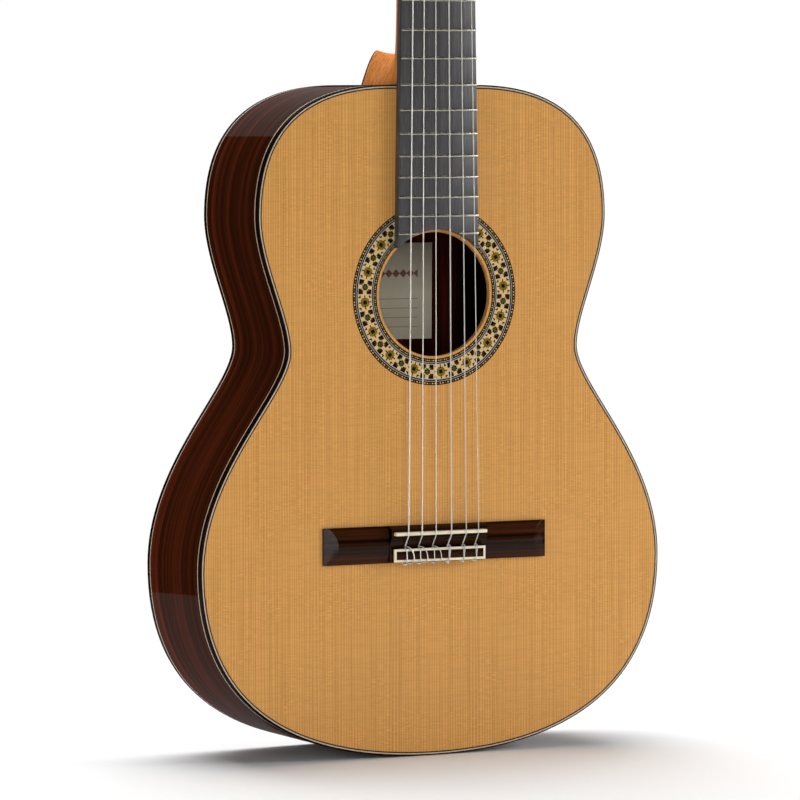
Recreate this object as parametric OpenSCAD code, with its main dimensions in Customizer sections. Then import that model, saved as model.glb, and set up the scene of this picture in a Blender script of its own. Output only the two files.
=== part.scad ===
// Classical guitar, 650 mm scale. The body stands on its tail at the origin,
// +Z runs up the neck, the soundboard faces -Y and the bass side is at -X.
// Parts are drawn lying on a bench: x across, y along from the tail, z out of the soundboard.

/* [Body outline] */
// Length of the body, tail to the twelfth fret
body_len = 490; // [480:1:498]
// Width of the lower bout
lower_w = 375; // [360:1:385]
// Width of the waist
waist_w = 237; // [228:1:246]
// Width of the upper bout
upper_w = 284; // [272:1:292]
// Height of the widest point of the lower bout
lower_y = 141; // [130:1:150]
// Height of the narrowest point of the waist
waist_y = 298; // [290:1:308]
// Height of the widest point of the upper bout
upper_y = 395; // [388:1:404]

/* [Body depth] */
// Depth of the body at the tail, on the centre line
depth_tail = 102; // [96:1:106]
// Depth of the body at the neck, on the centre line
depth_neck = 96; // [90:1:98]
// Radius of the arch across the back
back_arch_r = 3200; // [2600:100:4200]
// Distance from the soundboard to the origin
face_to_origin = 50; // [40:1:60]

/* [Plates and trim] */
// Thickness of the ribs and width of the bindings
rib_t = 2; // [1.8:0.1:3]
// Height of the bindings
bind_h = 6; // [5:0.5:8]
// Width of the purfling beside the front binding
purf_w = 1.2; // [1:0.1:2.5]
// Depth of the purfling and rosette channels
inlay_t = 1.2; // [0.8:0.1:1.6]
// Thickness of the soundboard
top_t = 2.6; // [2.2:0.1:3]
// Thickness of the back
back_t = 2.6; // [2.2:0.1:3]
// Width of the linings
lining_w = 5.5; // [4:0.5:7]
// Height of the linings
lining_h = 14; // [10:1:18]
// Width of the strip between the two halves of the back
strip_w = 6; // [3:0.5:10]

/* [Soundhole] */
// Height of the middle of the soundhole
hole_y = 337.5; // [332:0.5:342]
// Radius of the soundhole
hole_r = 45.4; // [42:0.1:46]
// Inner radius of the rosette
rosette_in = 47.2; // [46.5:0.1:48.5]
// Outer radius of the rosette
rosette_out = 66.5; // [60:0.5:70]
// Width of the label inside
label_w = 92; // [60:1:96]
// Height of the label inside
label_h = 72; // [50:1:84]

/* [Neck] */
// Vibrating length of the strings
scale_len = 650; // [640:1:656]
// Width of the neck at the nut
nut_w = 52; // [50:0.5:54]
// Width of the fingerboard at the twelfth fret
board_w12 = 62; // [60:0.5:64]
// Thickness of the fingerboard
board_t = 6.5; // [5.5:0.5:7]
// Thickness of the neck behind the first fret, without the fingerboard
neck_t1 = 15.5; // [14:0.5:17]
// Thickness of the neck beside the heel
neck_t9 = 17.5; // [16:0.5:19]
// Width of the heel cap at the body
heel_w = 25; // [20:1:32]
// Length of the heel cap
heel_len = 26; // [22:1:30]

/* [Head] */
// Angle that the head leans back
head_angle = 15; // [12:1:16]
// Width of the head
head_w = 74; // [73:0.5:76]
// Length of the head's straight part
head_len = 163; // [158:1:168]
// Thickness of the head with its veneer
head_t = 21; // [20:0.5:22]
// Distance between neighbouring rollers
roller_gap = 35; // [34:0.5:35]
// Distance from the nut to the first roller
roller_first = 52; // [50:1:54]
// Width of each slot
slot_w = 17; // [16:0.5:18]

/* [Strings] */
// Spread of the outer strings at the nut
spread_nut = 43; // [41:0.5:44]
// Spread of the outer strings at the saddle
spread_saddle = 59; // [57:0.5:60]

/* [Bridge] */
// Length of the bridge
bridge_len = 182; // [174:1:188]
// Width of the bridge
bridge_w = 27; // [26:0.5:29]
// Length of the saddle and tie block
block_len = 74.5; // [72:0.5:80]

/* [Hidden] */
$fn = 96;

// Outline of the body: four curves from the tail, then a flat stretch where the neck joins
curve_steps = 20;
flat_half = 34;
bouts = [
  [[0, 0], [99, 0], [lower_w / 2, lower_y - 108], [lower_w / 2, lower_y]],
  [[lower_w / 2, lower_y], [lower_w / 2, lower_y + 73], [waist_w / 2, waist_y - 30], [waist_w / 2, waist_y]],
  [[waist_w / 2, waist_y], [waist_w / 2, waist_y + 24], [upper_w / 2, upper_y - 33], [upper_w / 2, upper_y]],
  [[upper_w / 2, upper_y], [upper_w / 2, upper_y + 70], [98, body_len], [flat_half, body_len]]
];
function bezier(p, t) = pow(1 - t, 3) * p[0] + 3 * t * pow(1 - t, 2) * p[1] + 3 * t * t * (1 - t) * p[2]
  + pow(t, 3) * p[3];
function heading(p, t) = pow(1 - t, 2) * (p[1] - p[0]) + 2 * t * (1 - t) * (p[2] - p[1])
  + t * t * (p[3] - p[2]);
function inward(v) = [-v[1], v[0]] / norm(v);
function half_outline(inset) = [
  for (p = bouts, i = [0 : curve_steps - 1])
    bezier(p, i / curve_steps) + inset * inward(heading(p, i / curve_steps))
];
function outline(inset) = let (h = half_outline(inset)) concat(
  h,
  [[flat_half, body_len - inset], [-flat_half, body_len - inset]],
  [for (i = [len(h) - 1 : -1 : 1]) [-h[i][0], h[i][1]]]
);

// Depths and heights along the centre line
back_slope = atan((depth_tail - depth_neck) / body_len);
inner_edge = rib_t + lining_w;
nut_y = body_len + scale_len / 2;
nut_t = 5;
comp = 1;
saddle_y = nut_y - scale_len - comp;
far = 700;

// Head frame: origin where the head's face leaves the nut, y up the head, z out of its face
head_y0 = nut_y + nut_t;
head_z0 = 2;
veneer_t = 2;
axis_z = -head_t / 2;
strip_x = 7.5;
wall_x = strip_x + slot_w;
roller_r = 4.92;
roller_fit = 0.08;
slot_start = 19;
slot_end = roller_first + 2 * roller_gap + 15;

// Machine heads
plate_t = 1.2;
plate_w = 15;
plate_x = head_w / 2;
shaft_r = 2.4;
gear_teeth = 14;
worm_pitch = 2.4;
gear_pitch_r = gear_teeth * worm_pitch / (2 * PI);
gear_tip_r = 6;
gear_root_r = 4.5;
gear_t = 2.6;
gear_x = plate_x + plate_t + 3.2;
worm_gap = 7.75;
worm_tip_r = 3.05;
worm_root_r = 1.55;
worm_turns = 3;
worm_len = worm_turns * worm_pitch;
pin_r = 1.5;
pin_fit = 0.05;
lug_z = worm_len / 2 + 0.25;
button_z = -head_t - 4;
button_len = 19;

// Strings, from the highest to the lowest
string_r = [0.36, 0.41, 0.51, 0.37, 0.45, 0.55];
// Sideways step of each string from even spacing
string_step = [0.2, 1.8, 1.5, 0.7, 1.1, 1.8];
tie_hole_r = 0.9;
nut_string_z = board_t + 2;
saddle_top = 12.4;
tie_z = 6.2;
tie_front = 153;
bridge_front = saddle_y + 5.5;
bridge_back = bridge_front - bridge_w;
tie_back = bridge_back + 0.8;

module on_bench() {
  translate([0, -face_to_origin, 0])
    rotate([90, 0, 0])
      children();
}

module on_head() {
  translate([0, head_y0, head_z0])
    rotate([-head_angle, 0, 0])
      children();
}

// Solid of the body's outline between two heights
module body_prism(inset, z0, z1) {
  translate([0, 0, z0])
    linear_extrude(z1 - z0)
      polygon(outline(inset));
}

// Everything in front of the back's outer surface moved in by an offset
module before_back(offset) {
  translate([0, 0, -depth_tail])
    rotate([back_slope, 0, 0])
      translate([0, -60, back_arch_r])
        rotate([-90, 0, 0])
          cylinder(h = body_len + 120, r = back_arch_r - offset, $fn = 256);
}

// A skin of the back between two offsets, inside an outline
module back_skin(inset, from, to) {
  intersection() {
    body_prism(inset, -depth_tail - 1, -depth_neck / 2);
    difference() {
      before_back(from);
      before_back(to);
    }
  }
}

module slab(x0, x1, y0, y1, z0, z1) {
  translate([x0, y0, z0])
    cube([x1 - x0, y1 - y0, z1 - z0]);
}

// ---- Soundboard and its inlays ----
module soundboard() {
  color("burlywood")
    on_bench()
      difference() {
        union() {
          body_prism(rib_t, -top_t, -inlay_t);
          body_prism(rib_t + purf_w, -inlay_t, 0);
        }
        translate([0, hole_y, -top_t - 1])
          cylinder(h = top_t + 2, r = hole_r);
        translate([0, hole_y, -inlay_t])
          difference() {
            cylinder(h = inlay_t + 1, r = rosette_out);
            translate([0, 0, -1])
              cylinder(h = inlay_t + 3, r = rosette_in);
          }
      }
}

module rosette() {
  color("darkkhaki")
    on_bench()
      translate([0, hole_y, -inlay_t])
        difference() {
          cylinder(h = inlay_t, r = rosette_out);
          translate([0, 0, -1])
            cylinder(h = inlay_t + 2, r = rosette_in);
        }
}

module purfling_front() {
  color("ivory")
    on_bench()
      difference() {
        body_prism(rib_t, -inlay_t, 0);
        body_prism(rib_t + purf_w, -inlay_t - 1, 1);
      }
}

module binding_front() {
  color("saddlebrown")
    on_bench()
      difference() {
        body_prism(0, -bind_h, 0);
        body_prism(rib_t, -bind_h - 1, 1);
      }
}

doubler_r = 62;
doubler_t = 2;
module soundhole_doubler() {
  color("peru")
    on_bench()
      translate([0, hole_y, -top_t - doubler_t])
        difference() {
          cylinder(h = doubler_t, r = doubler_r);
          translate([0, 0, -1])
            cylinder(h = doubler_t + 2, r = hole_r);
        }
}

bar_w = 6;
bar_h = 15;
bar_ys = [hole_y - 68, hole_y + 66];
module harmonic_bars() {
  color("wheat")
    on_bench()
      intersection() {
        body_prism(inner_edge, -top_t - bar_h, -top_t);
        for (y = bar_ys)
          slab(-far, far, y - bar_w / 2, y + bar_w / 2, -far, far);
      }
}

// Seven struts fan out below the lower bar, two more close them off
fan_n = 7;
fan_w = 5;
fan_h = 4;
fan_top_y = bar_ys[0] - 6;
fan_bottom_y = 62;
module fan_braces() {
  color("wheat")
    on_bench()
      intersection() {
        body_prism(inner_edge, -top_t - fan_h, -top_t);
        union() {
          for (i = [0 : fan_n - 1])
            let (side = i - (fan_n - 1) / 2)
              translate([side * 15, fan_top_y, -top_t - fan_h])
                rotate([0, 0, side * 7])
                  translate([-fan_w / 2, -(fan_top_y - fan_bottom_y) + abs(side) * 14, 0])
                    cube([fan_w, fan_top_y - fan_bottom_y - abs(side) * 14, fan_h]);
          for (side = [-1, 1])
            translate([side * 8, 40, -top_t - fan_h])
              rotate([0, 0, side * 28])
                slab(side > 0 ? 0 : -98, side > 0 ? 98 : 0, -fan_w / 2, fan_w / 2, 0, fan_h);
        }
      }
}

// ---- Back ----
module back_half(side) {
  intersection() {
    back_skin(rib_t, 0, back_t);
    slab(side > 0 ? strip_w / 2 : -far, side > 0 ? far : -strip_w / 2, -10, far, -far, 0);
  }
}

module back_bass() {
  color("sienna")
    on_bench()
      back_half(-1);
}

module back_treble() {
  color("sienna")
    on_bench()
      back_half(1);
}

module back_strip() {
  color("tan")
    on_bench()
      intersection() {
        back_skin(rib_t, 0, back_t);
        slab(-strip_w / 2, strip_w / 2, -10, far, -far, 0);
      }
}

module back_braces() {
  color("wheat")
    on_bench()
      intersection() {
        back_skin(inner_edge, back_t, back_t + lining_h);
        for (y = [110, 228, 412])
          slab(-far, far, y - 4, y + 4, -far, 0);
      }
}

label_t = 0.3;
label_y = hole_y - 1.2;
module label() {
  color("floralwhite")
    on_bench()
      intersection() {
        back_skin(inner_edge, back_t, back_t + label_t);
        slab(-label_w / 2, label_w / 2, label_y - label_h / 2, label_y + label_h / 2, -far, 0);
      }
}

// ---- Ribs, linings and blocks ----
heel_web = 9;
block_w = 60;
block_len_y = 34;
tail_w = 70;
tail_len = 16;

module rib_band() {
  difference() {
    intersection() {
      body_prism(0, -depth_tail - 1, -bind_h);
      before_back(bind_h);
    }
    body_prism(rib_t, -far, 1);
    slab(-heel_web, heel_web, body_len - 20, body_len + 1, -far, 1);
  }
}

module rib_bass() {
  color("sienna")
    on_bench()
      intersection() {
        rib_band();
        slab(-far, 0, -1, far, -far, 0);
      }
}

module rib_treble() {
  color("sienna")
    on_bench()
      intersection() {
        rib_band();
        slab(0, far, -1, far, -far, 0);
      }
}

module binding_back() {
  color("saddlebrown")
    on_bench()
      difference() {
        back_skin(0, 0, bind_h);
        body_prism(rib_t, -far, 1);
      }
}

module block_spaces() {
  slab(-tail_w / 2, tail_w / 2, -1, rib_t + tail_len, -far, 1);
  slab(-block_w / 2, block_w / 2, body_len - rib_t - block_len_y, far, -far, 1);
}

module lining_front() {
  color("wheat")
    on_bench()
      difference() {
        body_prism(rib_t, -top_t - lining_h, -top_t);
        body_prism(inner_edge, -far, 1);
        block_spaces();
      }
}

module lining_back() {
  color("wheat")
    on_bench()
      difference() {
        back_skin(rib_t, back_t, back_t + lining_h);
        body_prism(inner_edge, -far, 1);
        block_spaces();
      }
}

module end_block() {
  color("peru")
    on_bench()
      intersection() {
        body_prism(rib_t, -depth_tail, -top_t);
        before_back(back_t);
        slab(-tail_w / 2, tail_w / 2, -1, rib_t + tail_len, -far, 0);
      }
}

// ---- Neck ----
board_slope = (board_w12 - nut_w) / scale_len;
function board_half(y) = nut_w / 2 + board_slope * (nut_y - y);

// The heel's ridge is one curve; section planes fan about a line behind the neck
heel_z = -depth_neck + 2.5;
fan_y = body_len + 72;
ridge = [
  [body_len + heel_len, heel_z], [body_len + 19, heel_z + 40], [body_len + 22, -neck_t9], [fan_y, -neck_t9]
];
heel_steps = 16;
ring_steps = 20;
// Point where a section plane meets the body's end or the fingerboard's underside
function root_point(p) = let (
    run = [fan_y - p[0], p[1] - heel_z],
    reach_y = run[0] > 0 ? (fan_y - body_len) / run[0] : far,
    reach_z = run[1] > 0 ? -heel_z / run[1] : far,
    reach = min(reach_y, reach_z)
  ) [fan_y - reach * run[0], heel_z + reach * run[1]];
// Half width where the neck leaves the body, by depth
function heel_half(z) = heel_w / 2 + (board_half(body_len) - heel_w / 2) * pow(1 - z / heel_z, 1.7);
// One section from edge to edge: pointed at the heel cap, round along the neck
function ring(ridge_p, root_p, half, point, power) = [
  for (i = [0 : ring_steps])
    let (
      c = cos(180 * i / ring_steps),
      depth = pow(max(0, 1 - pow(abs(c), point)), power),
      p = root_p + (ridge_p - root_p) * depth
    ) [half * c, p[0], p[1]]
];
function heel_ring(t) = let (
    ridge_p = bezier(ridge, t),
    root_p = root_point(ridge_p),
    half = root_p[1] < -0.01 ? heel_half(root_p[1]) : board_half(max(root_p[0], body_len))
  ) ring(ridge_p, root_p, half, 1.5 + 0.5 * t, 1 - 0.5 * t);
function shaft_ring(y, t, point) = ring([y, -t], [y, 0], board_half(y), point, 0.5);
head_seat = head_z0 - head_t * cos(head_angle);

module loft(rings) {
  n = len(rings[0]);
  last = len(rings) - 1;
  polyhedron(
    points = [for (r = rings, p = r) p],
    faces = concat(
      [[for (i = [0 : n - 1]) i]],
      [[for (i = [n - 1 : -1 : 0]) last * n + i]],
      [for (k = [0 : last - 1], i = [0 : n - 1]) let (j = (i + 1) % n) [k * n + j, k * n + i, (k + 1) * n + i]],
      [for (k = [0 : last - 1], i = [0 : n - 1]) let (j = (i + 1) % n) [k * n + j, (k + 1) * n + i, (k + 1) * n + j]]
    )
  );
}

module neck() {
  color("peru")
    on_bench() {
      loft(concat(
        [for (i = [0 : heel_steps]) heel_ring(i / heel_steps)],
        [shaft_ring(nut_y - 34, neck_t1, 2)],
        [shaft_ring(nut_y - 16, neck_t1 + 0.4, 2.2)],
        [shaft_ring(nut_y, -head_seat, 3.4)]
      ));
      // Tongue that passes between the ribs, and the block inside
      slab(-heel_web, heel_web, body_len - 10, body_len + 1, heel_z + bind_h - 2, -bind_h);
      intersection() {
        before_back(back_t);
        slab(-block_w / 2, block_w / 2, body_len - rib_t - block_len_y, body_len - rib_t, -far, -top_t);
      }
    }
}

module heel_cap() {
  cap = ring([body_len + heel_len, 0], [body_len, 0], heel_w / 2, 1.5, 1);
  color("sienna")
    on_bench()
      translate([0, 0, -depth_neck])
        linear_extrude(2.5)
          polygon([for (p = cap) [p[0], p[1]]]);
}

module fingerboard() {
  end_y = hole_y + 22;
  color([0.16, 0.15, 0.15])
    on_bench()
      difference() {
        linear_extrude(board_t)
          polygon([
            [-board_half(end_y), end_y], [board_half(end_y), end_y],
            [board_half(nut_y), nut_y], [-board_half(nut_y), nut_y]
          ]);
        translate([0, hole_y, -1])
          cylinder(h = board_t + 2, r = rosette_in);
        for (n = [1 : 19])
          fret_tang(n);
      }
}

fret_h = 1;
fret_w = 2.2;
fret_crown_r = (fret_w * fret_w / 4 + fret_h * fret_h) / (2 * fret_h);
tang_w = 0.6;
tang_h = 1.6;
function fret_y(n) = nut_y - scale_len * (1 - pow(2, -n / 12));
module fret_tang(n) {
  slab(-board_half(fret_y(n)) - 1, board_half(fret_y(n)) + 1, fret_y(n) - tang_w / 2, fret_y(n) + tang_w / 2,
    board_t - tang_h, board_t + 0.2);
}

module frets() {
  color("silver")
    on_bench()
      difference() {
        for (n = [1 : 19]) {
          half = board_half(fret_y(n));
          intersection() {
            union() {
              translate([-half, fret_y(n), board_t + fret_h - fret_crown_r])
                rotate([0, 90, 0])
                  cylinder(h = 2 * half, r = fret_crown_r);
              fret_tang(n);
            }
            union() {
              slab(-half, half, 0, far * 2, board_t, far);
              slab(-half, half, fret_y(n) - tang_w / 2, fret_y(n) + tang_w / 2, board_t - tang_h, board_t);
            }
          }
        }
        translate([0, hole_y, -1])
          cylinder(h = 20, r = rosette_in);
      }
}

function string_x(k, spread) = spread * (3.5 - k) / 5 + string_step[k - 1];
module nut() {
  color("ivory")
    on_bench()
      difference() {
        slab(-nut_w / 2, nut_w / 2, nut_y, nut_y + nut_t, 0, nut_string_z + 0.5);
        for (k = [1 : 6])
          translate([string_x(k, spread_nut), nut_y - 1, nut_string_z])
            rotate([-90, 0, 0])
              cylinder(h = nut_t + 2, r = string_r[k - 1] + 0.12);
        for (k = [1 : 6])
          let (r = string_r[k - 1] + 0.12)
            slab(string_x(k, spread_nut) - r, string_x(k, spread_nut) + r, nut_y - 1, nut_y + nut_t + 1,
              nut_string_z, nut_string_z + 2);
      }
}

// ---- Head ----
crest = 14;
head_edge = [
  [nut_w / 2, -12], [nut_w / 2 + 0.3, 1], [nut_w / 2 + 1.6, 5], [head_w / 2 - 4, 12], [head_w / 2 - 1.2, 16],
  [head_w / 2, 22], [head_w / 2, head_len], [head_w / 2 - 6, head_len + 4], [head_w / 2 - 15, head_len + 6],
  [head_w / 2 - 22, head_len + 11], [8, head_len + crest - 1]
];
module head_face() {
  difference() {
    polygon(concat(head_edge, [[0, head_len + crest]], [for (i = [len(head_edge) - 1 : -1 : 0])
      [-head_edge[i][0], head_edge[i][1]]]));
    for (side = [-1, 1]) {
      translate([side * (strip_x + slot_w / 2), slot_start + slot_w / 2])
        circle(r = slot_w / 2);
      translate([side * (strip_x + slot_w / 2), slot_end - slot_w / 2])
        circle(r = slot_w / 2);
      translate([side * (strip_x + slot_w / 2) - slot_w / 2, slot_start + slot_w / 2])
        square([slot_w, slot_end - slot_start - slot_w]);
    }
  }
}

function roller_y(k) = roller_first + roller_gap * (k <= 3 ? k - 1 : 6 - k);
function roller_side(k) = k <= 3 ? 1 : -1;
screw_r = 1;
screw_ys = [roller_first - 14, roller_first + 18, roller_first + roller_gap + 18, slot_end - 2];

module head() {
  color("peru")
    on_bench()
      difference() {
        intersection() {
          on_head()
            translate([0, 0, -head_t])
              linear_extrude(head_t - veneer_t)
                head_face();
          slab(-far, far, nut_y, far * 2, -far, far);
        }
        slab(-far, far, nut_y - 1, head_y0, 0, far);
        on_head()
          for (k = [1 : 6])
            mirror([roller_side(k) > 0 ? 0 : 1, 0, 0])
              translate([2, roller_y(k), axis_z])
                rotate([0, 90, 0])
                  cylinder(h = head_w, r = roller_r + roller_fit);
        on_head()
          screw_shanks(screw_r);
      }
}

module head_veneer() {
  color("sienna")
    on_bench()
      intersection() {
        on_head()
          translate([0, 0, -veneer_t])
            linear_extrude(veneer_t)
              head_face();
        slab(-far, far, head_y0, far * 2, -far, far);
      }
}

// ---- Bridge ----
wing_h = 5;
wing_crown_r = 39;
wing_bevel = 11;
wing_end_h = 1.2;
block_h = 9.2;
saddle_t = 2.6;
saddle_floor = 3;
trim_w = 1.8;
trim_h = 1.6;
module bridge() {
  mid = block_len / 2 + 2;
  mid_y = (bridge_back + bridge_front) / 2;
  color("saddlebrown")
    on_bench()
      difference() {
        union() {
          // Wings crowned across, with a flat bevel sloping down to each end
          intersection() {
            slab(-bridge_len / 2, bridge_len / 2, bridge_back, bridge_front, 0, wing_h);
            translate([-bridge_len / 2 - 1, mid_y, wing_h - wing_crown_r])
              rotate([0, 90, 0])
                cylinder(h = bridge_len + 2, r = wing_crown_r);
            rotate([90, 0, 0])
              translate([0, 0, -bridge_front - 1])
                linear_extrude(bridge_w + 2)
                  polygon([
                    [-bridge_len / 2, 0], [bridge_len / 2, 0], [bridge_len / 2, wing_end_h],
                    [bridge_len / 2 - wing_bevel, wing_h + 0.1], [-bridge_len / 2 + wing_bevel, wing_h + 0.1],
                    [-bridge_len / 2, wing_end_h]
                  ]);
          }
          rotate([90, 0, 90])
            translate([0, 0, -mid])
              linear_extrude(2 * mid)
                polygon([
                  [bridge_back, 0], [bridge_front, 0], [bridge_front, wing_h + 1], [bridge_front - 1.5, 8.4],
                  [saddle_y - 3.2, 8.4], [tie_front + 1.2, 4.6], [tie_front, 4.6], [tie_front, block_h],
                  [tie_back, block_h], [tie_back, wing_h], [bridge_back, wing_h - 2]
                ]);
        }
        slab(-block_len / 2, block_len / 2, saddle_y - saddle_t / 2, saddle_y + saddle_t / 2, saddle_floor, 20);
        slab(-mid - 1, -block_len / 2, bridge_back - 1, tie_front + 1.2, wing_h, 20);
        slab(block_len / 2, mid + 1, bridge_back - 1, tie_front + 1.2, wing_h, 20);
        trim_frame();
        for (k = [1 : 6])
          translate([string_x(k, spread_saddle), bridge_back - 1, tie_z])
            rotate([-90, 0, 0])
              cylinder(h = tie_front - bridge_back + 1.5, r = tie_hole_r);
      }
}

// Frame of bone strips let into the top of the tie block
module trim_frame() {
  half = block_len / 2;
  difference() {
    slab(-half, half, tie_back, tie_front, block_h - trim_h, block_h);
    slab(-half + trim_w, half - trim_w, tie_back + trim_w, tie_front - trim_w, 0, block_h + 1);
  }
}

module tie_block_trim() {
  color("ivory")
    on_bench()
      trim_frame();
}

module saddle() {
  color("ivory")
    on_bench()
      slab(-block_len / 2, block_len / 2, saddle_y - saddle_t / 2, saddle_y + saddle_t / 2, saddle_floor,
        saddle_top);
}

// ---- Strings ----
string_sides = 8;
roller_xs = [19.5, 15, 12.5];
function wrap_x(k) = roller_side(k) * roller_xs[k <= 3 ? k - 1 : 6 - k];
function from_head(p) = [
  p[0],
  head_y0 + p[1] * cos(head_angle) + p[2] * sin(head_angle),
  head_z0 - p[1] * sin(head_angle) + p[2] * cos(head_angle)
];
// Route of a string: behind the tie block, over the saddle and the nut, to the top of its roller
function string_route(k) = let (
    r = string_r[k - 1],
    xs = string_x(k, spread_saddle),
    xn = string_x(k, spread_nut)
  ) [
    [xs, bridge_back - 1.2, tie_z], [xs, tie_front + 1, tie_z], [xs, saddle_y - 1.4, saddle_top + r + 0.02],
    [xs, saddle_y + 1.4, saddle_top + r + 0.04], [xn, nut_y, nut_string_z], [xn, head_y0, nut_string_z],
    from_head([wrap_x(k), roller_y(k), axis_z + roller_r + r + 0.15])
  ];
function string_ring(route, i, r) = let (
    n = len(route),
    ahead = route[min(i + 1, n - 1)] - route[i],
    behind = route[i] - route[max(i - 1, 0)],
    d = (norm(ahead) > 0 ? ahead / norm(ahead) : [0, 0, 0]) + (norm(behind) > 0 ? behind / norm(behind)
      : [0, 0, 0]),
    f = d / norm(d),
    u = [f[1], -f[0], 0] / norm([f[1], -f[0]]),
    v = cross(u, f)
  ) [for (s = [0 : string_sides - 1])
    route[i] + r * (cos(360 * s / string_sides) * u + sin(360 * s / string_sides) * v)];
module string(k) {
  route = string_route(k);
  color(k > 3 ? "silver" : "whitesmoke")
    on_bench()
      loft([for (i = [0 : len(route) - 1]) string_ring(route, i, string_r[k - 1])]);
}

// ---- Machine heads ----
module screw_shanks(r) {
  for (side = [-1, 1], y = screw_ys)
    translate([side * (plate_x - 8), y, axis_z])
      rotate([0, side * 90, 0])
        cylinder(h = 8 + plate_t, r = r);
}

module tuner_plates() {
  color("gold")
    on_bench()
      on_head()
        for (side = [-1, 1])
          difference() {
            union() {
              slab(side > 0 ? plate_x : -plate_x - plate_t, side > 0 ? plate_x + plate_t : -plate_x,
                roller_first - 20, slot_end + 4, axis_z - plate_w / 2, axis_z + plate_w / 2);
              for (n = [0 : 2], z = [-1, 1])
                translate([0, roller_first + n * roller_gap + worm_gap, axis_z + z * (lug_z + 0.6)])
                  worm_lug(side);
            }
            for (n = [0 : 2]) {
              translate([0, roller_first + n * roller_gap, axis_z])
                rotate([0, side * 90, 0])
                  cylinder(h = head_w, r = shaft_r + pin_fit);
              translate([side * gear_x, roller_first + n * roller_gap + worm_gap, axis_z - 10])
                cylinder(h = 20, r = pin_r + pin_fit);
            }
            screw_shanks(screw_r);
          }
}

module worm_lug(side) {
  lug_r = 2.9;
  base = plate_x + plate_t - 0.2;
  translate([side * gear_x, 0, -0.6])
    cylinder(h = 1.2, r = lug_r);
  slab(side > 0 ? base : -gear_x, side > 0 ? gear_x : -base, -lug_r, lug_r, -0.6, 0.6);
}

module plate_screws() {
  color("gold")
    on_bench()
      on_head() {
        screw_shanks(screw_r);
        for (side = [-1, 1], y = screw_ys)
          translate([side * (plate_x + plate_t), y, axis_z])
            rotate([0, side * 90, 0])
              difference() {
                cylinder(h = 0.9, r = 1.9);
                slab(-3, 3, -0.25, 0.25, 0.45, 2);
              }
      }
}

module at_roller(k) {
  on_bench()
    on_head()
      translate([0, roller_y(k), axis_z])
        children();
}

module roller(k) {
  shown = abs(wrap_x(k));
  color("ivory")
    at_roller(k)
      mirror([roller_side(k) > 0 ? 0 : 1, 0, 0])
        difference() {
          rotate([0, 90, 0])
            union() {
              translate([0, 0, 2.3])
                cylinder(h = plate_x - 2.5, r = roller_r);
              translate([0, 0, plate_x - 1])
                cylinder(h = gear_x + gear_t / 2 - plate_x + 1, r = shaft_r);
            }
          translate([shown + 2, 0, -10])
            cylinder(h = 20, r = 0.8, $fn = 24);
        }
}

function gear_outline() = [
  for (i = [0 : gear_teeth - 1], s = [[-1, gear_root_r, 0.62], [-1, gear_tip_r, 0.28], [1, gear_tip_r, 0.28],
      [1, gear_root_r, 0.62]])
    let (a = 360 * i / gear_teeth + s[0] * s[2] * 180 / (PI * s[1])) s[1] * [sin(a), cos(a)]
];
module gear(k) {
  color("gold")
    at_roller(k)
      mirror([roller_side(k) > 0 ? 0 : 1, 0, 0]) {
        translate([gear_x, 0, 0])
          rotate([90, 0, 90])
            difference() {
              union() {
                translate([0, 0, -gear_t / 2])
                  linear_extrude(gear_t)
                    rotate(90)
                      polygon(gear_outline());
                translate([0, 0, -gear_x + plate_x + plate_t + 0.15])
                  cylinder(h = gear_x - plate_x - plate_t - 0.15, r = 3.4);
              }
              translate([0, 0, -10])
                cylinder(h = 20, r = shaft_r);
            }
        translate([gear_x + gear_t / 2, 0, 0])
          rotate([0, 90, 0])
            difference() {
              cylinder(h = 1.1, r = 2.9);
              slab(-4, 4, -0.35, 0.35, 0.55, 2);
            }
      }
}

// A worm's cross-section: its radius by angle, one thread a turn
worm_crest = 0.3;
worm_foot = 0.62;
function worm_radius(phase) = let (d = abs(phase - 0.5) * worm_pitch)
  d < worm_crest ? worm_tip_r
  : d > worm_foot ? worm_root_r
  : worm_tip_r - (worm_tip_r - worm_root_r) * (d - worm_crest) / (worm_foot - worm_crest);
worm_phases = [0, 0.12, 0.24, 0.3, 0.375, 0.44, 0.5, 0.56, 0.625, 0.7, 0.76, 0.88];
module worm(k) {
  color("gold")
    at_roller(k)
      translate([roller_side(k) * gear_x, worm_gap, 0]) {
        rotate([0, 0, 270 - worm_turns * 180])
          linear_extrude(worm_len, center = true, twist = -360 * worm_turns,
            slices = 14 * worm_turns, segments = len(worm_phases))
            polygon([for (f = worm_phases) worm_radius(f) * [cos(360 * f), sin(360 * f)]]);
        translate([0, 0, worm_len / 2 - 0.5])
          cylinder(h = 2.4, r = pin_r);
        translate([0, 0, button_z - axis_z - 6])
          cylinder(h = -button_z + axis_z + 6.5 - worm_len / 2, r = pin_r);
      }
}

button_w = 16;
button_t = 8.5;
collar_r = 3.2;
module button(k) {
  color("whitesmoke")
    at_roller(k)
      translate([roller_side(k) * gear_x, worm_gap, button_z - axis_z])
        difference() {
          union() {
            translate([0, 0, -2])
              cylinder(h = 2, r = collar_r);
            intersection() {
              rotate([90, 0, 0])
                translate([0, 0, -button_w])
                  linear_extrude(2 * button_w)
                    button_side();
              rotate([90, 0, 90])
                translate([0, 0, -button_w])
                  linear_extrude(2 * button_w)
                    button_front();
            }
          }
          translate([0, 0, -6])
            cylinder(h = 10, r = pin_r);
        }
}

module button_side() {
  r = button_t / 2;
  translate([0, -1.5 - r])
    circle(r = r);
  translate([0, -button_len + r])
    circle(r = r);
  translate([-r, -button_len + r])
    square([2 * r, button_len - 1.5 - 2 * r]);
}

module button_front() {
  r = button_w / 2;
  translate([0, -button_len + r])
    circle(r = r);
  polygon([[-collar_r, -1.5], [-r, -button_len + r], [r, -button_len + r], [collar_r, -1.5]]);
}

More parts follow.
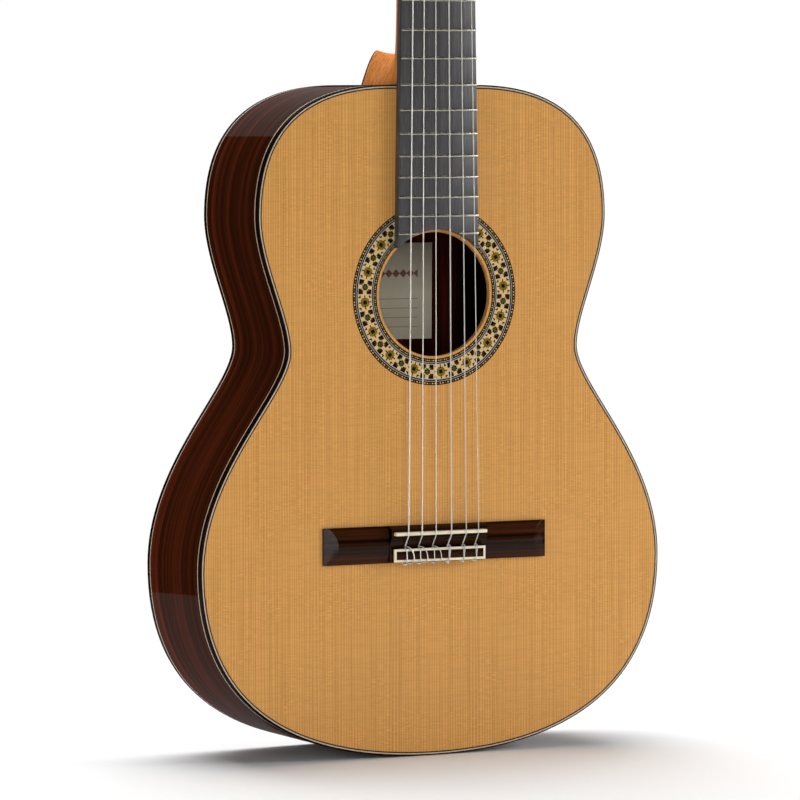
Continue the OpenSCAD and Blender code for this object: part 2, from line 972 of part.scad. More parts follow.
soundboard();
rosette();
soundhole_doubler();
harmonic_bars();
fan_braces();
back_bass();
back_treble();
back_strip();
back_braces();
rib_bass();
rib_treble();
end_block();
lining_front();
lining_back();
binding_front();
binding_back();
purfling_front();
label();
neck();
heel_cap();
head();
head_veneer();
fingerboard();
frets();
nut();
bridge();
saddle();
tie_block_trim();
tuner_plates();
plate_screws();
for (k = [1 : 6]) {
  string(k);
  roller(k);
  gear(k);
  worm(k);
  button(k);
}
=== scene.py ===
"""Classical guitar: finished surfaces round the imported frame.

Row frame, in metres: +Z runs up the neck, -Y out of the soundboard, +X to the treble side.
Sizes in the pieces below are in millimetres and pass through bench() or head_point().
"""

import math

import bpy
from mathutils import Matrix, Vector


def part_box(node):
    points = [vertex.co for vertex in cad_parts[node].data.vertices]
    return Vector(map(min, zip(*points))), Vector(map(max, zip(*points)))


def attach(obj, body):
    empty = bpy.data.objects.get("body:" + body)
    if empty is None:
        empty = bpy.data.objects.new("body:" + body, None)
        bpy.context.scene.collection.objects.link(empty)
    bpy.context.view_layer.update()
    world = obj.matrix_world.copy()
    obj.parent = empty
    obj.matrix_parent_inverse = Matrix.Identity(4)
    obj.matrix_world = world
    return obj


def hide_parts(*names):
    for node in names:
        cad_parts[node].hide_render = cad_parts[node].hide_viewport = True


bl_info = {
    "name": "Classical Guitar Finish",
    "version": (1, 0, 0),
    "blender": (4, 5, 0),
    "location": "3D View > Sidebar > Guitar",
    "description": "Makes the visible pieces of a classical guitar round its packed frame",
    "category": "Add Mesh",
}

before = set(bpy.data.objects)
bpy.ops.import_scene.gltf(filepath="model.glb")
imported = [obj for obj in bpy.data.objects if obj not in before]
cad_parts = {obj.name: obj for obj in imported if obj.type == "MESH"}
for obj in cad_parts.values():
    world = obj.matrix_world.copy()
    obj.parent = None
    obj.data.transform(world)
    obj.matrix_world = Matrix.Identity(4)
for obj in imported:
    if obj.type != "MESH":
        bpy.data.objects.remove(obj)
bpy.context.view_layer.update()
MM = 0.001
GUITAR = "guitar"

# The soundboard's face in metres, and the other sizes in millimetres, read from the frame
FACE_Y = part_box("soundboard")[0].y
BODY_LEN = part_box("binding_front")[1].z / MM
BODY_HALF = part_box("binding_front")[1].x / MM
HOLE_Z = (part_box("rosette")[0].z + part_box("rosette")[1].z) / 2 / MM
NUT_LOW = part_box("nut")[0].z / MM
NUT_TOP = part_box("nut")[1].z / MM
NUT_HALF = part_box("nut")[1].x / MM
RIB = BODY_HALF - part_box("soundboard")[1].x / MM

# The head in its own frame, in millimetres: its face, thickness and machines
HEAD_Z0 = 2
HEAD_LEAN = math.radians(15)
HEAD_T = 21
AXIS_Z = -HEAD_T / 2
WORM_GAP = 7.75
GEAR_X = 41.4
FIRST_ROLLER = 52
ROLLER_GAP = 35
ROLLER_R = 4.92


def bench(x, y, z):
    """A point on the bench (across, along, out of the soundboard) in the row frame."""
    return Vector((x * MM, FACE_Y - z * MM, y * MM))


def head_point(x, y, z):
    """A point in the head's own frame (across, up the head, out of its face) in the row frame."""
    c, s = math.cos(HEAD_LEAN), math.sin(HEAD_LEAN)
    return bench(x, NUT_TOP + y * c + z * s, HEAD_Z0 - y * s + z * c)


# ---- modelling tools


def deselect():
    if bpy.context.mode != "OBJECT":
        bpy.ops.object.mode_set(mode="OBJECT")
    bpy.ops.object.select_all(action="DESELECT")


def activate(obj):
    deselect()
    obj.select_set(True)
    bpy.context.view_layer.objects.active = obj


def edit_all(*steps):
    """Runs edit-mode steps on everything in the active mesh."""
    bpy.ops.object.mode_set(mode="EDIT")
    bpy.ops.mesh.select_mode(type="VERT")
    bpy.ops.mesh.select_all(action="SELECT")
    for step in steps:
        step()
    bpy.ops.object.mode_set(mode="OBJECT")


def merge(distance=1e-6):
    bpy.ops.mesh.remove_doubles(threshold=distance)


def face_out():
    bpy.ops.mesh.normals_make_consistent(inside=False)


def apply_modifier(obj, kind, **settings):
    modifier = obj.modifiers.new(kind.title(), kind)
    for key, value in settings.items():
        setattr(modifier, key, value)
    activate(obj)
    bpy.ops.object.modifier_apply(modifier=modifier.name)


def bevel(obj, width, segments=2, angle=35):
    """Rounds every edge sharper than an angle. The width is in millimetres."""
    apply_modifier(
        obj, "BEVEL", width=width * MM, segments=segments, limit_method="ANGLE",
        angle_limit=math.radians(angle), use_clamp_overlap=True,
    )


def smooth(obj, angle=35):
    activate(obj)
    bpy.ops.object.shade_smooth_by_angle(angle=math.radians(angle))


def distances(points):
    """Distance of each point from the first, along the line through them."""
    reach = [0.0]
    for start, end in zip(points, points[1:]):
        reach.append(reach[-1] + (Vector(end) - Vector(start)).length)
    return reach


def grid(name, rows, closed_rows=False, closed_columns=False, capped=False):
    """A quad sheet through rows of points. Its UV map holds metres along the rows and across them."""
    ny, nx = len(rows), len(rows[0])
    deselect()
    bpy.ops.mesh.primitive_grid_add(x_subdivisions=nx - 1, y_subdivisions=ny - 1, size=1)
    obj = bpy.context.object
    mesh = obj.data
    obj.name = mesh.name = name
    assert len(mesh.vertices) == nx * ny
    order = sorted(range(nx * ny), key=lambda i: (round(mesh.vertices[i].co.y, 6), mesh.vertices[i].co.x))
    across = distances(rows[ny // 2])
    along = distances([row[nx // 2] for row in rows])
    place = {}
    for k, i in enumerate(order):
        j, c = divmod(k, nx)
        mesh.vertices[i].co = rows[j][c]
        place[i] = (along[j], across[c])
    uv = mesh.uv_layers.active.data
    for loop in mesh.loops:
        uv[loop.index].uv = place[loop.vertex_index]
    activate(obj)
    if closed_rows or closed_columns:
        edit_all(merge)
    if capped:
        edit_all(lambda: bpy.ops.mesh.fill_holes(sides=0))
    edit_all(face_out)
    mesh.update()
    return obj


def ring_points(points):
    """Closes a loop of points on itself."""
    return list(points) + [points[0]]


def prism(name, points, push):
    """An outline of points, filled and pushed along a vector."""
    deselect()
    bpy.ops.mesh.primitive_circle_add(vertices=len(points), radius=1, fill_type="NGON")
    obj = bpy.context.object
    obj.name = name
    for vertex, point in zip(obj.data.vertices, points):
        vertex.co = point
    activate(obj)
    edit_all(lambda: bpy.ops.mesh.extrude_region_move(TRANSFORM_OT_translate={"value": tuple(push)}))
    edit_all(face_out)
    return obj


def cut(point, outward):
    """Cuts the active object by a plane, drops the outward side and closes the rest."""
    edit_all(lambda: bpy.ops.mesh.bisect(plane_co=point, plane_no=outward, use_fill=True, clear_outer=True))


def refined(name, node, width, segments=2):
    """A merged and rounded copy of a CAD node's own solids. The width is in millimetres."""
    deselect()
    bpy.ops.mesh.primitive_plane_add(size=1)
    obj = bpy.context.object
    obj.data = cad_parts[node].data.copy()
    obj.data.materials.clear()
    obj.name = obj.data.name = name
    activate(obj)
    edit_all(lambda: merge(2e-6))
    edit_all(lambda: bpy.ops.mesh.dissolve_limited(angle_limit=math.radians(0.5), delimit=set()))
    if width:
        bevel(obj, width, segments)
    smooth(obj)
    return obj


def tube(name, points, radius, smooth_path=True):
    """A round string through points, as a filled mesh."""
    deselect()
    bpy.ops.curve.primitive_nurbs_path_add()
    curve = bpy.context.object
    curve.data.splines.clear()
    spline = curve.data.splines.new("BEZIER" if smooth_path else "POLY")
    store = spline.bezier_points if smooth_path else spline.points
    store.add(len(points) - 1)
    for target, point in zip(store, points):
        if smooth_path:
            target.co = point
            target.handle_left_type = target.handle_right_type = "AUTO"
        else:
            target.co = (*point, 1)
    curve.data.dimensions = "3D"
    curve.data.bevel_depth = radius * MM
    curve.data.bevel_resolution = 2
    curve.data.resolution_u = 8
    curve.data.use_fill_caps = True
    activate(curve)
    bpy.ops.object.convert(target="MESH")
    obj = bpy.context.object
    obj.name = name
    activate(obj)
    edit_all(lambda: merge(1e-7), face_out)
    smooth(obj, 60)
    return obj


def join(name, objects):
    deselect()
    for obj in objects:
        obj.select_set(True)
    bpy.context.view_layer.objects.active = objects[0]
    bpy.ops.object.join()
    obj = bpy.context.object
    obj.name = obj.data.name = name
    return obj


def dress(obj, body, slot, materials, *nodes):
    """Gives a piece its materials and its body, and hides the CAD nodes it stands for. The slot is not used.
    """
    if not isinstance(materials, (list, tuple)):
        materials = [materials]
    if len(obj.data.materials) == 0:
        for material in materials:
            obj.data.materials.append(material)
    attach(obj, body)
    if nodes:
        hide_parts(*nodes)


def rounded(name, node, slot, make, width, segments=2, body=GUITAR):
    """A rounded copy of a CAD node, in the node's place."""
    dress(refined(name, node, width, segments), body, slot, material(make), node)


def finish_node(node, material):
    """A CAD node that keeps its own shape gets its finish."""
    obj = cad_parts[node]
    obj.data.materials.clear()
    obj.data.materials.append(material)


# ---- body outline


def bezier(p, t):
    """The point at t on a cubic curve."""
    s = 1 - t
    return tuple(s**3 * a + 3 * s * s * t * b + 3 * s * t * t * c + t**3 * d for a, b, c, d in zip(*p))


def heading(p, t):
    """The direction of a cubic curve at t."""
    s = 1 - t
    return tuple(s * s * (b - a) + 2 * s * t * (c - b) + t * t * (d - c) for a, b, c, d in zip(*p))


# Half width of the flat end where the neck joins, and the low points of that end and of the bouts
FLAT_HALF = 34
FLAT_XS = (22, 9)
LOWER_Y, WAIST_Y, UPPER_Y = 141, 298, 395


def bouts():
    """Four curves of the half outline, from the tail to the neck."""
    sizes = bpy.context.scene.guitar_sizes
    low, waist, top = BODY_HALF, sizes.waist / 2 / MM, sizes.upper_bout / 2 / MM
    return [
        ((0, 0), (99, 0), (low, LOWER_Y - 108), (low, LOWER_Y)),
        ((low, LOWER_Y), (low, LOWER_Y + 73), (waist, WAIST_Y - 30), (waist, WAIST_Y)),
        ((waist, WAIST_Y), (waist, WAIST_Y + 24), (top, UPPER_Y - 33), (top, UPPER_Y)),
        ((top, UPPER_Y), (top, UPPER_Y + 70), (98, BODY_LEN), (FLAT_HALF, BODY_LEN)),
    ]


def half_outline(inset, steps=36):
    """Points of the treble half from the tail, moved in by an inset, with the flat end by the neck."""
    points = []
    for curve in bouts():
        for i in range(steps):
            t = i / steps
            x, y = bezier(curve, t)
            dx, dy = heading(curve, t)
            long = math.hypot(dx, dy)
            points.append((x - inset * dy / long, y + inset * dx / long))
    points.append((FLAT_HALF, BODY_LEN - inset))
    return points


def whole_outline(inset):
    half = half_outline(inset)
    ends = [*FLAT_XS, *(-x for x in reversed(FLAT_XS))]
    flat = [(x, BODY_LEN - inset) for x in ends]
    return half + flat + [(-x, y) for x, y in reversed(half[1:])]


# Radius of the back's arch, and the body's depth at the tail and at the neck
ARCH_R = 3200
DEPTH_TAIL = 102
DEPTH_NECK = 96


def back_z(x, y, inward=0):
    """Height of the back's outer surface on the bench, moved into the body."""
    centre = -DEPTH_TAIL + (DEPTH_TAIL - DEPTH_NECK) * y / BODY_LEN
    r = ARCH_R - inward
    return centre + ARCH_R - math.sqrt(r * r - x * x)


# ---- material tools


class Shader:
    """A material's node tree, built step by step."""

    def __init__(self, name, **sockets):
        self.material = bpy.data.materials.new(name)
        self.material.use_nodes = True
        self.tree = self.material.node_tree
        self.tree.nodes.clear()
        output = self.tree.nodes.new("ShaderNodeOutputMaterial")
        self.surface = self.tree.nodes.new("ShaderNodeBsdfPrincipled")
        self.tree.links.new(self.surface.outputs[0], output.inputs["Surface"])
        for key, value in sockets.items():
            self.put(self.surface.inputs[key.replace("_", " ")], value)
        self.bumped = None

    def put(self, socket, value):
        if isinstance(value, bpy.types.NodeSocket):
            self.tree.links.new(value, socket)
        elif isinstance(value, (tuple, list)) and len(value) == 3 and socket.type == "RGBA":
            socket.default_value = (*value, 1)
        else:
            socket.default_value = value

    def node(self, kind, out=0, props=None, **inputs):
        made = self.tree.nodes.new("ShaderNode" + kind)
        for key, value in (props or {}).items():
            setattr(made, key, value)
        for key, value in inputs.items():
            index = int(key[1:]) if key[0] == "i" and key[1:].isdigit() else key.replace("_", " ")
            self.put(made.inputs[index], value)
        return made.outputs[out]

    def coords(self, scale, uv=False, rotation=(0, 0, 0)):
        source = self.node("TexCoord", "UV" if uv else "Object")
        return self.node("Mapping", Vector=source, Scale=scale, Rotation=rotation)

    def noise(self, vector, detail, roughness=0.55, distortion=0):
        return self.node("TexNoise", "Fac", Vector=vector, Scale=1, Detail=detail,
                         Roughness=roughness, Distortion=distortion)

    def grain(self, scale, detail, roughness=0.55, distortion=0, **mapping):
        return self.noise(self.coords(scale, **mapping), detail, roughness, distortion)

    def ramp(self, fac, stops):
        made = self.tree.nodes.new("ShaderNodeValToRGB")
        self.put(made.inputs[0], fac)
        while len(made.color_ramp.elements) < len(stops):
            made.color_ramp.elements.new(0.5)
        for element, (at, colour) in zip(made.color_ramp.elements, stops):
            element.position = at
            element.color = (*colour, 1)
        return made.outputs[0]

    def mix(self, fac, a, b):
        return self.node("Mix", 2, {"data_type": "RGBA"}, i0=fac, i6=a, i7=b)

    def maths(self, operation, a, b=0.5):
        return self.node("Math", props={"operation": operation}, i0=a, i1=b)

    def times(self, a, b):
        return self.maths("MULTIPLY", a, b)

    def span(self, value, low, high, to_low=0.0, to_high=1.0):
        return self.node("MapRange", i0=value, i1=low, i2=high, i3=to_low, i4=to_high)

    def xyz(self):
        split = self.tree.nodes.new("ShaderNodeSeparateXYZ")
        self.put(split.inputs[0], self.node("TexCoord", "Object"))
        return split.outputs

    def bump(self, height, strength=0.2, distance=0.0004):
        inputs = {"Height": height, "Strength": strength, "Distance": distance}
        if self.bumped:
            inputs["Normal"] = self.bumped
        self.bumped = self.node("Bump", **inputs)
        self.put(self.surface.inputs["Normal"], self.bumped)

    def colour(self, value):
        self.put(self.surface.inputs["Base Color"], value)
        return self

    def rough(self, value):
        self.put(self.surface.inputs["Roughness"], value)
        return self


MATERIALS = {}


def material(make):
    """Keeps one copy of each material."""
    if make.__name__ not in MATERIALS:
        MATERIALS[make.__name__] = make().material
    return MATERIALS[make.__name__]


def srgb(r, g, b):
    """A screen colour of 0 to 255 as linear light."""
    return tuple(((c / 255 + 0.055) / 1.055) ** 2.4 if c > 10 else c / 255 / 12.92 for c in (r, g, b))


def colours():
    return bpy.context.scene.guitar_finish


def cedar_top():
    """Bookmatched cedar: fine upright grain, short cross silk, a satin coat."""
    s = Shader("cedar_top", Specular_IOR_Level=0.3, Coat_Weight=0.1, Coat_Roughness=0.3)
    ring_pitch = 0.0021
    x, y, z = s.xyz()
    side = s.maths("ABSOLUTE", x)
    fold = s.node("CombineXYZ", X=side, Y=y, Z=z)

    def scaled(*scale):
        return s.node("Mapping", Vector=fold, Scale=scale)

    def shade(colour, by):
        return tuple(min(1, c * by) for c in colour)

    lines = s.noise(scaled(900, 60, 6), 2, 0.5, 0.08)
    drift = s.noise(scaled(46, 10, 1.6), 2, 0.5)
    phase = s.maths("ADD", s.times(side, 2 * math.pi / ring_pitch), s.times(drift, 22))
    rings = s.maths("SINE", phase)
    broad = s.noise(scaled(34, 10, 2.2), 3, 0.5)
    silk = s.noise(scaled(170, 60, 1700), 2, 0.55)
    threads = s.noise(scaled(60, 30, 900), 3, 0.6)
    patches = s.noise(scaled(40, 20, 30), 2, 0.5)
    light = tuple(colours().cedar_light)
    dark = tuple(colours().cedar_dark)
    base = s.ramp(lines, [(0.3, tuple(0.45 * a + 0.55 * b for a, b in zip(dark, light))), (0.5, light),
                          (0.7, shade(light, 1.1))])
    ring_mask = s.times(s.span(rings, -0.1, 1.0, 0, 0.82), s.span(patches, 0.3, 0.66, 0.35, 1))
    base = s.mix(ring_mask, base, dark)
    base = s.mix(s.span(broad, 0.3, 0.7, 0, 0.22), base, shade(light, 0.86))
    base = s.mix(s.span(threads, 0.44, 0.62, 0, 0.42), base, shade(light, 0.72))
    silk_mask = s.times(s.span(silk, 0.5, 0.66), s.span(patches, 0.35, 0.66))
    base = s.mix(s.times(silk_mask, 0.5), base, shade(light, 1.35))
    s.colour(base)
    s.rough(s.span(lines, 0.2, 0.8, 0.46, 0.38))
    s.bump(lines, 0.1, 0.0001)
    s.bump(silk, 0.05, 0.00008)
    return s


def rosewood(name, along, across, uv=False, dark=None, streak=None, gloss=0.04, coat=0.08, size=1.0):
    """Rosewood under lacquer, with its streaks along one axis of its coordinates."""
    s = Shader(name, Coat_Weight=coat, Coat_Roughness=gloss, Coat_IOR=1.5, Specular_IOR_Level=0.0)
    scale = [60 * size] * 3
    scale[along] = 3.0
    scale[across] = 190 * size
    pores = list(scale)
    pores[along] = 60
    pores[across] = 2600
    figure = s.grain(scale, 5, 0.62, 0.9, uv=uv)
    bands = s.grain([c * 0.3 for c in scale], 3, 0.5, 1.2, uv=uv)
    pore = s.grain(pores, 2, 0.5, uv=uv)
    dark = dark or tuple(colours().rosewood_dark)
    streak = streak or tuple(colours().rosewood_streak)
    mid = tuple((a + b) / 2 for a, b in zip(dark, streak))
    base = s.ramp(figure, [(0.3, dark), (0.5, mid), (0.64, streak), (0.78, mid)])
    base = s.mix(s.span(bands, 0.35, 0.62), dark, base)
    base = s.mix(s.span(pore, 0.62, 0.72, 0, 0.6), base, (0.006, 0.003, 0.003))
    s.colour(base)
    s.rough(s.span(figure, 0.3, 0.7, 0.42, 0.3))
    return s


def wood(maker, name, *values, **options):
    """A function that makes one named wood."""

    def make():
        return maker(name, *values, **options)

    make.__name__ = name
    return make


rib_wood = wood(rosewood, "rib_wood", 0, 1, uv=True)
back_wood = wood(rosewood, "back_wood", 2, 0)
inner_wood = wood(rosewood, "inner_wood", 2, 0, dark=srgb(42, 30, 20), streak=srgb(60, 44, 29), gloss=0.5,
                  coat=0.0)
bridge_wood = wood(rosewood, "bridge_wood", 0, 2, dark=srgb(18, 7, 3), streak=srgb(70, 36, 15), gloss=0.1,
                   coat=0.25, size=1.6)
binding_wood = wood(rosewood, "binding_wood", 2, 0, dark=srgb(16, 8, 8), streak=srgb(34, 16, 14), gloss=0.08)
veneer_wood = wood(rosewood, "veneer_wood", 2, 0, dark=srgb(36, 15, 12), streak=srgb(88, 40, 26), gloss=0.07,
                   coat=0.5)


def white_line():
    s = Shader("white_line", Coat_Weight=0.2, Coat_Roughness=0.1, Specular_IOR_Level=0.2)
    grain = s.grain((900, 900, 60), 2)
    s.colour(s.mix(s.span(grain, 0.3, 0.7), srgb(176, 158, 132), srgb(204, 188, 162)))
    return s.rough(0.45)


def inlay(name, scale, low, high, rough, coat, coat_rough, gloss):
    """A dyed wood with a fine grain between two colours."""
    s = Shader(name, Coat_Weight=coat, Coat_Roughness=coat_rough, Specular_IOR_Level=gloss)
    s.colour(s.mix(s.grain(scale, 2), low, high))
    return s.rough(rough)


def bare_wood(name, scale, low, high, high_at, rough):
    """Unfinished wood inside the body."""
    s = Shader(name)
    grain = s.grain(scale, 4, 0.6)
    s.colour(s.ramp(grain, [(0.35, low), (high_at, high)]))
    s.bump(grain, 0.15, 0.0002)
    return s.rough(rough)


black_line = wood(inlay, "black_line", (700, 700, 50), srgb(20, 16, 15), srgb(38, 30, 27), 0.5, 0.2, 0.1, 0.2)
spruce = wood(bare_wood, "spruce", (500, 90, 40), srgb(176, 136, 88), srgb(214, 178, 126), 0.6, 0.72)
doubler_cedar = wood(bare_wood, "doubler_cedar", (60, 500, 500), srgb(150, 96, 50), srgb(196, 138, 80),
                     0.65, 0.68)


def neck_cedar():
    """Orange-brown neck cedar with dark flecks that lean across the heel."""
    s = Shader("neck_cedar", Coat_Weight=0.03, Coat_Roughness=0.1, Specular_IOR_Level=0.0)
    lean = (0.28, 0, 0)
    grain = s.grain((420, 300, 9), 4, 0.6, 0.4, rotation=lean)
    fleck = s.grain((1500, 1100, 60), 2, 0.5, rotation=lean)
    broad = s.grain((30, 30, 4), 3, rotation=lean)
    base = s.ramp(grain, [(0.3, srgb(182, 104, 46)), (0.52, srgb(222, 142, 72)), (0.75, srgb(240, 166, 92))])
    base = s.mix(s.span(fleck, 0.56, 0.7, 0, 0.5), base, srgb(124, 58, 26))
    base = s.mix(s.span(broad, 0.35, 0.7, 0, 0.3), base, srgb(196, 112, 54))
    s.colour(base)
    s.bump(fleck, 0.06, 0.0001)
    return s.rough(0.36)


def ebony():
    """Satin ebony with a faint upright grain."""
    s = Shader("ebony", Specular_IOR_Level=0.5)
    grain = s.grain((900, 500, 14), 4, 0.6)
    pore = s.grain((2600, 900, 70), 2, 0.5)
    base = s.ramp(grain, [(0.3, tuple(colours().ebony)), (0.7, tuple(c * 2.1 for c in colours().ebony))])
    base = s.mix(s.span(pore, 0.6, 0.72, 0, 0.7), base, srgb(112, 108, 106))
    s.colour(base)
    s.bump(pore, 0.12, 0.0001)
    return s.rough(s.span(grain, 0.3, 0.7, 0.5, 0.38))


def nickel():
    s = Shader("nickel", Metallic=1.0)
    brushed = s.grain((160, 2400, 2400), 2)
    s.colour(s.mix(brushed, srgb(150, 146, 136), srgb(188, 183, 172)))
    s.bump(brushed, 0.05, 0.00004)
    return s.rough(s.span(brushed, 0.3, 0.7, 0.2, 0.32))


def gilt_brass():
    s = Shader("gilt_brass", Metallic=1.0)
    brushed = s.grain((900, 900, 2200), 2)
    cloud = s.grain((90, 90, 90), 3)
    s.colour(s.mix(s.span(cloud, 0.35, 0.7), srgb(214, 172, 98), srgb(190, 146, 78)))
    s.bump(brushed, 0.06, 0.00004)
    return s.rough(s.span(brushed, 0.3, 0.7, 0.2, 0.34))


def bone():
    s = Shader("bone", Coat_Weight=0.3, Coat_Roughness=0.2, Subsurface_Weight=0.08, Subsurface_Scale=0.002)
    grain = s.grain((60, 900, 900), 4, 0.6)
    cloud = s.grain((200, 200, 200), 2)
    base = s.ramp(grain, [(0.35, srgb(222, 208, 176)), (0.65, srgb(242, 234, 212))])
    s.colour(s.mix(s.span(cloud, 0.4, 0.7, 0, 0.3), base, srgb(232, 216, 180)))
    s.bump(grain, 0.04, 0.00006)
    return s.rough(0.34)


def roller_white():
    s = Shader("roller_white", Coat_Weight=0.3, Coat_Roughness=0.15)
    cloud = s.grain((300, 90, 90), 3)
    s.colour(s.mix(cloud, srgb(222, 216, 200), srgb(238, 234, 222)))
    s.bump(cloud, 0.03, 0.00005)
    return s.rough(0.3)


def pearl():
    """Clouded pearl buttons."""
    s = Shader("pearl", Coat_Weight=0.8, Coat_Roughness=0.06, Sheen_Weight=0.1)
    cloud = s.grain((130, 90, 110), 4, 0.65, 2.2)
    base = s.ramp(cloud, [(0.35, srgb(196, 190, 176)), (0.5, srgb(232, 228, 218)),
                          (0.62, srgb(212, 204, 190)), (0.75, srgb(240, 238, 230))])
    s.colour(base)
    return s.rough(s.span(cloud, 0.3, 0.7, 0.18, 0.34))


def nylon():
    """Clear nylon: pale, glassy, a little milky."""
    s = Shader("nylon", Transmission_Weight=0.45, IOR=1.45, Coat_Weight=0.5, Coat_Roughness=0.08)
    cloud = s.grain((900, 900, 40), 2)
    s.colour(s.mix(cloud, srgb(226, 224, 216), srgb(244, 243, 238)))
    return s.rough(s.span(cloud, 0.3, 0.7, 0.12, 0.24))


def wound_silver():
    """Silver-plated winding: fine turns round the string, with painted shade in the grooves between the
    turns.
    """
    s = Shader("wound_silver", Metallic=0.9)
    turns = s.node("TexWave", "Fac", props={"wave_type": "BANDS", "bands_direction": "Z"},
                   Vector=s.coords((1, 1, 1)), Scale=1100.0, Distortion=0.0)
    cloud = s.grain((400, 400, 60), 2)
    # painted shade: the silver darkens in a band at each turn, standing in for shade in the grooves between
    # turns
    s.colour(s.mix(turns, srgb(178, 176, 170), srgb(232, 230, 224)))
    s.bump(turns, 0.35, 0.00006)
    return s.rough(s.span(cloud, 0.3, 0.7, 0.26, 0.4))


def label_paper():
    """Off-white paper with a plain printed ornament and ruled lines, no lettering, and painted shade
    darkening its upper part.
    """
    s = Shader("label_paper")
    fibre = s.grain((900, 900, 900), 3)
    age = s.grain((26, 26, 26), 3)
    x, _, z = s.xyz()
    paper = s.mix(s.span(age, 0.3, 0.7), srgb(244, 232, 200), srgb(252, 244, 220))
    paper = s.mix(s.span(fibre, 0.35, 0.65, 0, 0.14), paper, srgb(206, 198, 178))

    def inside(value, low, high):
        return s.times(s.maths("GREATER_THAN", value, low), s.maths("LESS_THAN", value, high))

    middle = HOLE_Z * MM
    diamonds = s.maths("ADD", s.maths("ABSOLUTE", s.maths("PINGPONG", s.maths("ADD", x, 0.5), 0.003)),
                       s.maths("ABSOLUTE", s.maths("SUBTRACT", z, middle + 0.012)))
    ornament = s.times(s.maths("LESS_THAN", diamonds, 0.0032), inside(x, -0.034, 0.034))
    spacing = s.maths("PINGPONG", s.maths("SUBTRACT", z, middle - 0.028), 0.0035)
    rules = s.times(s.maths("LESS_THAN", spacing, 0.00028), inside(z, middle - 0.0285, middle - 0.006))
    rules = s.times(rules, inside(x, -0.03, 0.034))
    # painted shade: the paper darkens towards its top, standing in for the shadow that the soundboard and
    # fingerboard cast inside the body
    shade = s.span(z, middle - 0.004, middle + 0.036, 0, 0.72)
    paper = s.mix(shade, paper, srgb(112, 104, 90))
    paper = s.mix(s.times(ornament, 0.85), paper, srgb(120, 26, 30))
    s.colour(s.mix(s.times(rules, 0.5), paper, srgb(120, 84, 80)))
    s.bump(fibre, 0.08, 0.00008)
    return s.rough(0.8)


def tile(name, low, high):
    """One dyed wood of the mosaic."""
    return wood(inlay, name, (1400, 700, 1400), low, high, 0.42, 0.05, 0.2, 0.05)


MOSAIC = [
    tile("tile_black", srgb(12, 9, 7), srgb(24, 18, 13)),
    tile("tile_cream", srgb(196, 164, 108), srgb(220, 190, 138)),
    tile("tile_gold", srgb(104, 82, 16), srgb(138, 114, 34)),
    tile("tile_green", srgb(46, 72, 38), srgb(70, 96, 54)),
    tile("tile_brown", srgb(46, 30, 12), srgb(78, 54, 22)),
    tile("tile_grey", srgb(164, 154, 146), srgb(196, 186, 176)),
]
BLACK, CREAM, GOLD, GREEN, BROWN, GREY = range(6)

# ---- properties


def length(name, text, mm, low, high):
    return bpy.props.FloatProperty(name=name, description=text, default=mm * MM, min=low * MM, max=high * MM,
                                   subtype="DISTANCE", unit="LENGTH", precision=5)


def paint(name, text, value):
    return bpy.props.FloatVectorProperty(name=name, description=text, default=value, size=3, min=0, max=1,
                                         subtype="COLOR")


class GuitarSizes(bpy.types.PropertyGroup):
    waist: length("Waist", "Width of the body at its waist", 237, 228, 246)
    upper_bout: length("Upper bout", "Width of the upper bout", 284, 272, 292)
    binding: length("Binding", "Height of the bindings", 6, 5, 8)
    purfling: length("Purfling", "Width of the purfling", 1.2, 1, 2.5)
    line: length("White line", "Width of the white line beside each binding", 1.1, 0.5, 2)
    edge: length("Edge rounding", "Radius of the bindings' outer edge", 0.9, 0.2, 2)


class GuitarFinish(bpy.types.PropertyGroup):
    cedar_light: paint("Cedar, light", "Wood between the grain lines of the soundboard", srgb(214, 157, 82))
    cedar_dark: paint("Cedar, dark", "Grain lines of the soundboard", srgb(160, 98, 29))
    rosewood_dark: paint("Rosewood, dark", "Ground colour of the back and ribs", srgb(38, 15, 3))
    rosewood_streak: paint("Rosewood, streak", "Streaks of the back and ribs", srgb(96, 38, 20))
    ebony: paint("Ebony", "Fingerboard", srgb(48, 46, 47))


class PieceOperator(bpy.types.Operator):
    """Base of the operators that make pieces"""

    bl_options = {"REGISTER", "UNDO"}

    def execute(self, context):
        if context.mode != "OBJECT":
            raise RuntimeError(self.bl_label + " needs object mode")
        self.make(context.scene.guitar_sizes)
        return {"FINISHED"}


# ---- body


def edge_band(name, profile, outward):
    """A band that follows the whole outline. The profile holds (inset, height) pairs in millimetres."""
    loops = [whole_outline(inset) for inset, _ in profile]
    rows = [[outward(p, height) for p, (_, height) in zip(ring, profile)] for ring in zip(*loops)]
    return grid(name, [ring_points(row) for row in ring_points(rows)], closed_rows=True, closed_columns=True)


def face_height(p, depth):
    """A point of a band on the soundboard's side."""
    return bench(p[0], p[1], -depth)


def paint_faces(obj, materials, choose):
    """Gives each face the material that choose(centre, polygon) picks."""
    obj.data.materials.clear()
    for each in materials:
        obj.data.materials.append(each)
    for polygon in obj.data.polygons:
        polygon.material_index = choose(polygon.center, polygon)


def strip_finder(obj):
    """Tells which strip of a band a face lies in, counted from the profile's first segment."""
    uv = obj.data.uv_layers.active.data
    limits = sorted({round(loop.uv[1], 7) for loop in uv})

    def strip(polygon):
        middle = sum(uv[i].uv[1] for i in polygon.loop_indices) / len(polygon.loop_indices)
        return sum(1 for limit in limits if limit < middle) - 1

    return strip


def rounded_edge(radius, steps=4):
    """Quarter round from the side to the top, as (inset, depth) pairs."""
    turn = [math.pi / 2 * i / steps for i in range(steps + 1)]
    return [(radius * (1 - math.cos(a)), radius * (1 - math.sin(a))) for a in turn]


